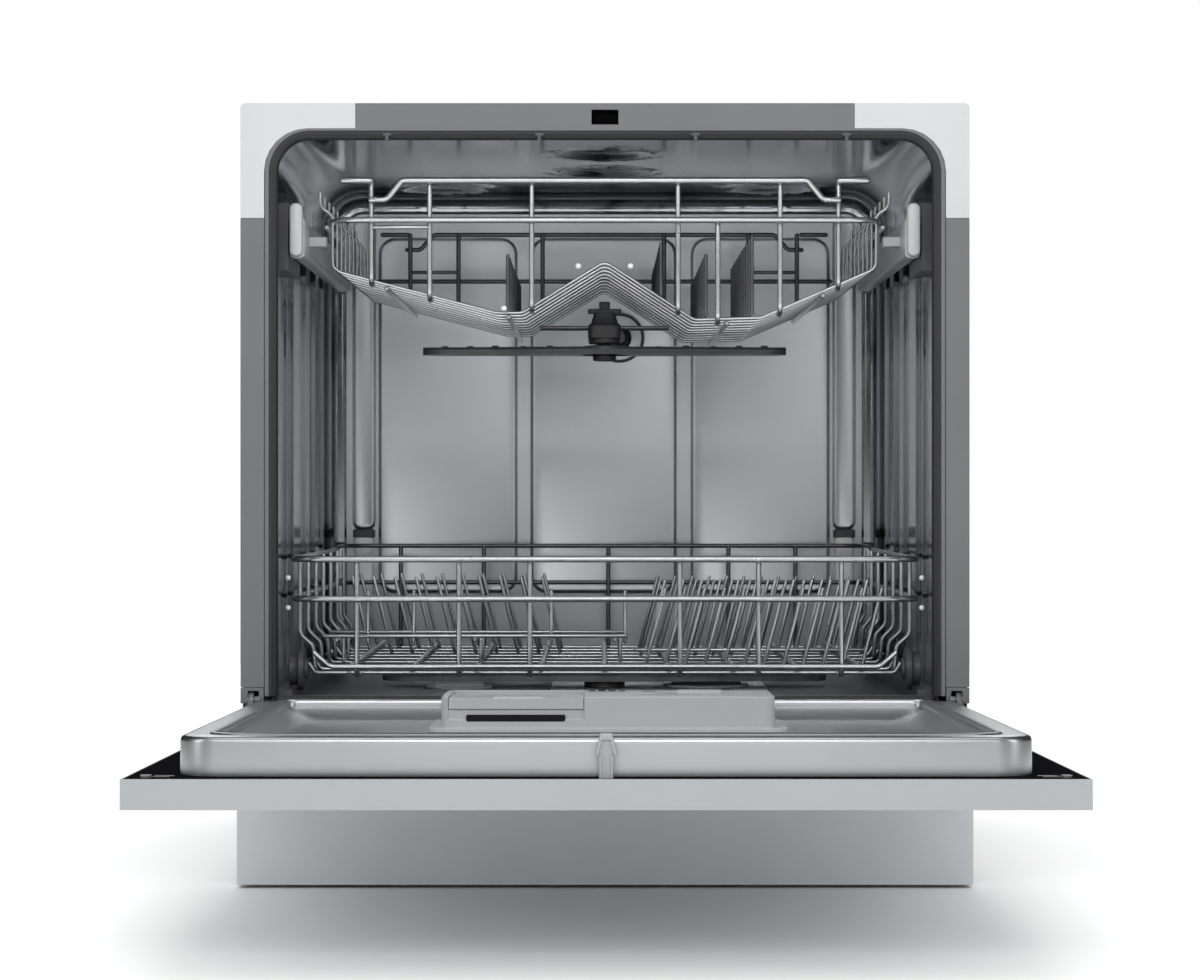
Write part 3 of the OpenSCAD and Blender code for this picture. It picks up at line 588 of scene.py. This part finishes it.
tips = Shape()
for s in (-1, 1):
    for z in (232.5, 209.3):
        tips.ball(cab(s * 245.2, 38, z), 2.1)
tips.piece("lower_wire_tips", "wire_tip", "lower_basket")

low_floor = Shape()
for i in range(9):
    y = 58 + i * 48
    low_floor.tube([cab(-231, y, 166), cab(-226, y, FLOOR_Z), cab(226, y, FLOOR_Z),
                    cab(231, y, 166)], 3, 5)
for x in range(-200, 201, 50):
    low_floor.tube([cab(x, 50, FLOOR_Z + 4), cab(x, 448, FLOOR_Z + 4)], 4)
low_floor.piece("lower_basket_base", "basket_wire", "lower_basket", "lower_basket_floor")


def tines(shape, x0, x1, count, y, z0, z1, lean):
    for i in range(count):
        x = x0 + (x1 - x0) * i / (count - 1)
        shape.tube([cab(x, y, z0), cab(x + lean, y, z1)], 3)


right = Shape()
for y in (74, 290, 400):
    tines(right, 31, 201, 12, y, 159, 224, 17)
right.piece("tines_right", "basket_wire", "lower_basket", "lower_tines_right")
left = Shape()
for y in (315, 405):
    tines(left, -202, -38, 10, y, 159, 226, -16)
for y in SHELF_YS:
    left.tube([cab(-222, y, SHELF_Z), cab(18, y, SHELF_Z)], 3)
for x in (-186, -150, -114, -42, 16):
    left.tube([cab(x, 73.7, 180), cab(x, 73.7, 222)], 3)
for x in (-210, -102, 8):
    left.tube([cab(x, 66, 182.9), cab(x, 141, 182.9)], 3)
    for y in (84, 128):
        left.tube([cab(x + 4, y, 164.5), cab(x + 4, y, 184)], 3)
left.piece("tines_left", "basket_wire", "lower_basket", "lower_tines_left")
fold = Shape()
fold.tube([cab(24, 180, 169.2), cab(216, 180, 169.2)], 4)
tines(fold, 36, 202, 12, 182.6, 169.2, 227.2, 14)
fold.piece("fold_row_wires", "basket_wire", "fold_row", "lower_fold_row")

# ---- Upper basket ----

UP_FRONT, UP_REAR, UP_RAIL = 50, 430, 541.2
UP_FRONT_POSTS = (-182, -136.5, -57, 57, 88, 136.5, 182)
UP_REAR_POSTS = (-174.8, -131.4, -55.6, 54, 130.2, 173.7)
FLOOR_W = [(-222.5, 533), (-222.5, 521), (-212.7, 516), (-212.7, 475), (-206.4, 470.5), (-85.4, 438.9),
           (-64.8, 438.9), (0, 479), (70, 433.5), (122, 435), (209, 472.4), (212, 477), (212, 516),
           (222, 521), (222, 533)]


def w_height(x):
    for (x0, z0), (x1, z1) in zip(FLOOR_W[4:], FLOOR_W[5:11]):
        if x0 <= x <= x1:
            return z0 + (z1 - z0) * (x - x0) / (x1 - x0)
    return 470


def stepped(shape, y, z, drop, hw, d):
    shape.tube([cab(-hw, y, z - drop), cab(14 - hw, y, z - drop), cab(26 - hw, y, z), cab(hw - 26, y, z),
                cab(hw - 14, y, z - drop), cab(hw, y, z - drop)], d, 6)
    for s in (-1, 1):
        shape.tube([cab(s * (hw - 4), y, z), cab(s * (hw + 22), y, z)], d)


up = Shape()
stepped(up, UP_FRONT, UP_RAIL, 15, 184, 5)
up.tube([cab(-216, 88, 510.5), cab(-210, UP_FRONT, 510.5), cab(210, UP_FRONT, 510.5),
         cab(216, 88, 510.5)], 5, 20)
for x in UP_FRONT_POSTS:
    top = 512 if x == 88 else UP_RAIL + 1
    foot = w_height(x) - 3.4
    up.tube([cab(x, UP_FRONT + 22, foot), cab(x, UP_FRONT + 4.6, foot + 1),
             cab(x, UP_FRONT + 4.6, top)], 4, 7)
up.tube([cab(-181, UP_FRONT + 2, 505), cab(-137, UP_FRONT + 2, 505)], 3)
up.piece("upper_basket_front", "basket_wire", "upper_basket", "upper_basket_walls")
rear = Shape()
stepped(rear, UP_REAR, 530.9, 13.6, 180, 4)
rear.tube([cab(-206, UP_REAR, 488.8), cab(206, UP_REAR, 488.8)], 4)
for x in UP_REAR_POSTS:
    rear.tube([cab(x, UP_REAR - 4.1, w_height(x) + 3), cab(x, UP_REAR - 4.1, 532)], 4)
for s in (-1, 1):
    rear.tube([cab(s * 174, UP_REAR, 497), cab(s * 131.4, UP_REAR, 497)], 3)
# The rear wires take the darker wire finish, which is painted shade.
rear.piece("upper_basket_rear", "wire_painted_shade", "upper_basket")
w_floor = Shape()
for i in range(10):
    w_floor.tube([cab(x, 62 + 39 * i, z) for x, z in FLOOR_W], 2.3, 9)
for x in (-170, -75, 95, 170):
    w_floor.tube([cab(x, 52, w_height(x) - 3.8), cab(x, 428, w_height(x) - 3.8)], 4)
for s in (-1, 1):
    w_floor.tube([cab(s * 216.6, 52, 505), cab(s * 216.6, 428, 505)], 4)
w_floor.piece("upper_basket_base", "basket_wire", "upper_basket", "upper_basket_floor")
w_tips = Shape()
for x, z in ((-20.6, 475), (20, 475), (-78.6, 442)):
    w_tips.ball(cab(x, 55, z), 2.3)
w_tips.piece("upper_wire_tips", "wire_tip", "upper_basket")
comb = Shape()
for i in range(10):
    y = 62 + 39 * i + 3.05
    for x, z0, z1 in ((-76, 441, 485), (44, 452, 494), (79, 436, 485), (115, 437, 500)):
        comb.tube([cab(x, y, z0), cab(x, y, z1)], 3)
# The tine rows take the darker wire finish, which is painted shade.
comb.piece("upper_tine_rows", "wire_painted_shade", "upper_basket", "upper_tines")

# ---- Rails, wheels and rollers ----

for s, side in ((-1, "left"), (1, "right")):
    rail = Shape()
    channel = [(233, 484.4), (233.4, 482.6), (234.6, 482), (243, 482), (243, 483.9), (235.8, 484.2),
               (234.8, 485.2), (234.8, 506.8), (235.8, 507.8), (243, 508.1), (243, 510), (234.6, 510),
               (233.4, 509.4), (233, 507.6)]
    rail.loft([[cab(s * x, y, z) for x, z in channel] for y in (34, 467.8)])
    rail.loft([[cab(s * x, y, z) for x, z in rounded(232.6, 233.3, 486.5, 505.5, [0.3] * 4, 3)]
               for y in (44, 462)])
    cap = []
    for y, grow in ((25.1, -2.4), (25.8, -1.0), (27.2, -0.2), (29, 0), (33.4, 0), (34.8, -0.8)):
        cap.append([cab(s * x, y, z) for x,
                    z in rounded(232.9 - grow, 243.1 + grow, 480.2 - grow, 521.8 + grow,
                                                         [4.9 + min(0, grow)] * 4)])
    rail.loft(cap)
    rail.loft([[cab(s * x, y, z) for x, z in rounded(232.2, 243.4, 479.6, 512.4, [4] * 4)]
               for y in (35.4, 37.4)])
    for y in (80, 390):
        rail.loft([[cab(s * x, a, b) for a, b in rounded(y, y + 14, 492, 500, [1.5] * 4)]
                   for x in (219.4, 233.2)])
    rail.piece(f"upper_rail_{side}", "light_grey_plastic", "upper_basket",
               *(["upper_rails"] if s < 0 else []))

WHEEL = [(231.5, 5.5), (231.9, 7.6), (233.9, 8), (234.2, 14.8), (234.8, 16.5), (236.8, 16.7),
         (238.8, 16.4), (239.5, 15.4), (239.7, 13.0), (241.5, 12.7), (244.2, 12.7), (245.8, 13.1),
         (246.4, 12.2), (246.4, 9.2), (240.4, 8.6), (240.4, 2.0)]
ROLLER = [(236, 3.2), (236, 10.4), (236.7, 11.5), (238.2, 11.6), (241.4, 11.6), (242.3, 10.8),
          (242.4, 3.2)]
for s, side in ((-1, "left"), (1, "right")):
    for end in ("front", "rear"):
        for kind, profile, finish in (("wheel", WHEEL, "dark_plastic"),
                                      ("roller", ROLLER, "dark_plastic")):
            node = f"{kind}_{side}_{end}"
            lo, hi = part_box(node)
            centre = Vector((0, (lo.y + hi.y) / 2, (lo.z + hi.z) / 2))
            part = Shape()
            part.lathe([(s * t, r) for t, r in profile], centre, (1, 0, 0))
            part.piece(f"{node}_turned", finish, node, node)

# ---- Spray arms ----


def blade(shape, centre, length, hub_w, tip_w, height):
    rings = []
    for i in range(49):
        x = -length + 2 * length * i / 48
        run = min(1.0, abs(x) / length)
        width = tip_w + (hub_w - tip_w) * (1 - run)
        past = abs(x) - (length - tip_w / 2)
        if past > 0:
            width *= math.sqrt(max(0.01, 1 - (past / (tip_w / 2)) ** 2))
        thick = height * (0.86 + 0.14 * (1 - run))
        ring = []
        for k in range(16):
            a = 2 * math.pi * k / 16
            up_half = thick if math.sin(a) > 0 else 0
            ring.append(centre + Vector((x, width / 2 * math.cos(a),
                                         up_half * math.sqrt(abs(math.sin(a))))) * MM)
        rings.append(ring)
    shape.loft(rings)


for node, body, z, length, hub_w in (("lower_spray_arm", "lower_arm", 141.2, 185.5, 46),
                                     ("upper_spray_arm", "upper_arm", 413.4, 152, 42)):
    arm = Shape()
    middle = cab(0, 232, z)
    blade(arm, middle, length, hub_w, 24, 7.6)
    arm.lathe([(0, 20), (6.8, 19.4), (7.6, 18.2), (7.9, 12)], middle, (0, 0, 1))
    for s in (-1, 1):
        for f in (0.3, 0.45, 0.6, 0.74, 0.88):
            spot = middle + Vector((s * f * length, (6 if f in (0.3, 0.6) else -4) * s, 4.2)) * MM
            arm.lathe([(0, 3.6), (2.6, 3.2), (3.6, 2.4), (3.0, 1.2)], spot, (0, 0, 1), 20)
    arm.piece(f"{node}_blade", "arm_grey", body, node, sharp=45)

# ---- Upper arm's mount and the docking port ----

MOUNT_Y, PORT_X, PORT_Z = 232, 14, 440


def box_stack(shape, centre_y, levels):
    """Rounded blocks stacked upwards from (half width, half depth, height) levels."""
    shape.loft([[cab(x, centre_y + y, z) for x, y in rounded(-hw, hw, -hd, hd, [min(hw, hd) * 0.45] * 4)]
                for hw, hd, z in levels])


mount = Shape()
mount.lathe([(408.4, 8.6), (409.2, 9.8), (412.4, 9.8), (412.6, 6), (422.6, 6), (422.8, 12.6),
             (423.6, 13.4), (427, 13.4), (427.6, 12.6)], cab(0, MOUNT_Y, 0), (0, 0, 1))
box_stack(mount, MOUNT_Y, [(12.4, 12.4, 426.6), (13.9, 13.9, 427.6), (13.9, 13.9, 437.6),
                           (12.9, 12.9, 438.6), (11.2, 11.2, 440), (8.8, 8.8, 448.4)])
box_stack(mount, MOUNT_Y, [(13.4, 4.4, 448), (14, 5, 448.6), (14, 5, 451.4), (13.4, 4.4, 452)])
box_stack(mount, MOUNT_Y, [(4.4, 4.4, 451.8), (4.6, 4.6, 457.2), (4, 4, 458)])
for s in (-1, 1):
    for z in (430.5, 434.5):
        mount.loft([[cab(x, y, z + h) for x, h in rounded(-9, 9, -0.7, 0.7, [0.6] * 4, 3)]
                    for y in (MOUNT_Y + s * 13.7, MOUNT_Y + s * 14)])
start, end = cab(0, MOUNT_Y + 11, PORT_Z), cab(PORT_X, 470.5, PORT_Z)
run = (end - start).length / MM
mount.lathe([(0, 6.5), (run - 14, 6.5), (run - 12, 8.9), (run, 8.9)], start, end - start)
mount.piece("upper_arm_hub", "hub_black", "upper_basket", "upper_arm_mount", sharp=40)
hangers = Shape()
for s in (-1, 1):
    for y in (MOUNT_Y - 10, MOUNT_Y + 10):
        hangers.tube([cab(s * 13, y, 436), cab(s * 54, y, 436)], 3)
# The hub wires take the darker wire finish, which is painted shade.
hangers.piece("arm_hub_wires", "wire_painted_shade", "upper_basket")

port = Shape()
port.lathe([(0.6, 22.9), (-0.8, 22.8), (-1.3, 22.2), (-1.3, 20.8), (-0.8, 20.1), (0.6, 20)],
           cab(PORT_X, 471.6, PORT_Z), (0, 1, 0))
port.piece("port_ring", "dark_plastic", "cabinet")
cup = Shape()
cup.lathe([(0.2, 20.4), (-0.7, 20.3), (-0.7, 13.4), (-0.9, 12.6), (-0.9, 11.2), (-0.5, 10.7),
           (0.2, 10.6)],
          cab(PORT_X, 471.6, PORT_Z), (0, 1, 0))
cup.piece("port_cup", "tub_steel", "cabinet")

# ---- CAD parts that keep their shape get eased edges and a finish ----

EASED = {"side_panels": 0.25, "top_panel": 0.25, "rear_panel": 0.25, "base_tray": 0.6,
         "plinth_panel": 0.3, "levelling_feet": 0.5, "front_frame": 0.25, "corner_plates": 0.25,
         "outer_panel": 0.4, "panel_core": 0.3, "control_fascia": 0.2, "dispenser_body": 0.9,
         "dispenser_lid": 0.8, "rinse_cap": 0.6, "latch_catch": 0.4, "rail_brackets": 0.8,
         "hinge_brackets": 0.2, "hinge_arms": 0.3, "wash_pump": 0.8, "drain_pump": 0.8,
         "inlet_valve": 0.8, "softener_tank": 1.5, "air_breather": 1.5, "control_box": 0.8,
         "feed_pipe": 0.4, "sump": 0.6, "salt_cap": 0.5, "filter_cup": 0.4}
slot_of = {s["node"]: s["material_slot"] for s in frame["record"]["subparts"]}
for name, node in frame["nodes"].items():
    node.data.materials.clear()
    node.data.materials.append(MAT[LOOKS.get(name, slot_of[name])])
    if name in EASED:
        weld = node.modifiers.new("weld", "WELD")
        weld.merge_threshold = 2e-6
        flat = node.modifiers.new("flat", "DECIMATE")
        flat.decimate_type = "DISSOLVE"
        flat.angle_limit = math.radians(0.8)
        ease = node.modifiers.new("ease", "BEVEL")
        ease.width = EASED[name] * MM
        ease.segments = 2
        ease.limit_method = "ANGLE"
        ease.angle_limit = math.radians(40)
        ease.harden_normals = False

# ---- Floor ----

# The far edge of the floor lies just in front of the rear light.
FLOOR_END = 2.9
floor_mesh = bpy.data.meshes.new("floor")
floor_mesh.from_pydata([(-15, -15, 0), (15, -15, 0), (15, FLOOR_END, 0), (-15, FLOOR_END, 0)], [],
                       [(0, 1, 2, 3)])
floor_mesh.materials.append(surface("floor", (0.955, 0.955, 0.955), 0.8, tint=0.004, blotch=2,
                                    bump=0.004, Specular_IOR_Level=0.1))
floor = bpy.data.objects.new("floor", floor_mesh)
scene.collection.objects.link(floor)
floor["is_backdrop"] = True

lo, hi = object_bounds()
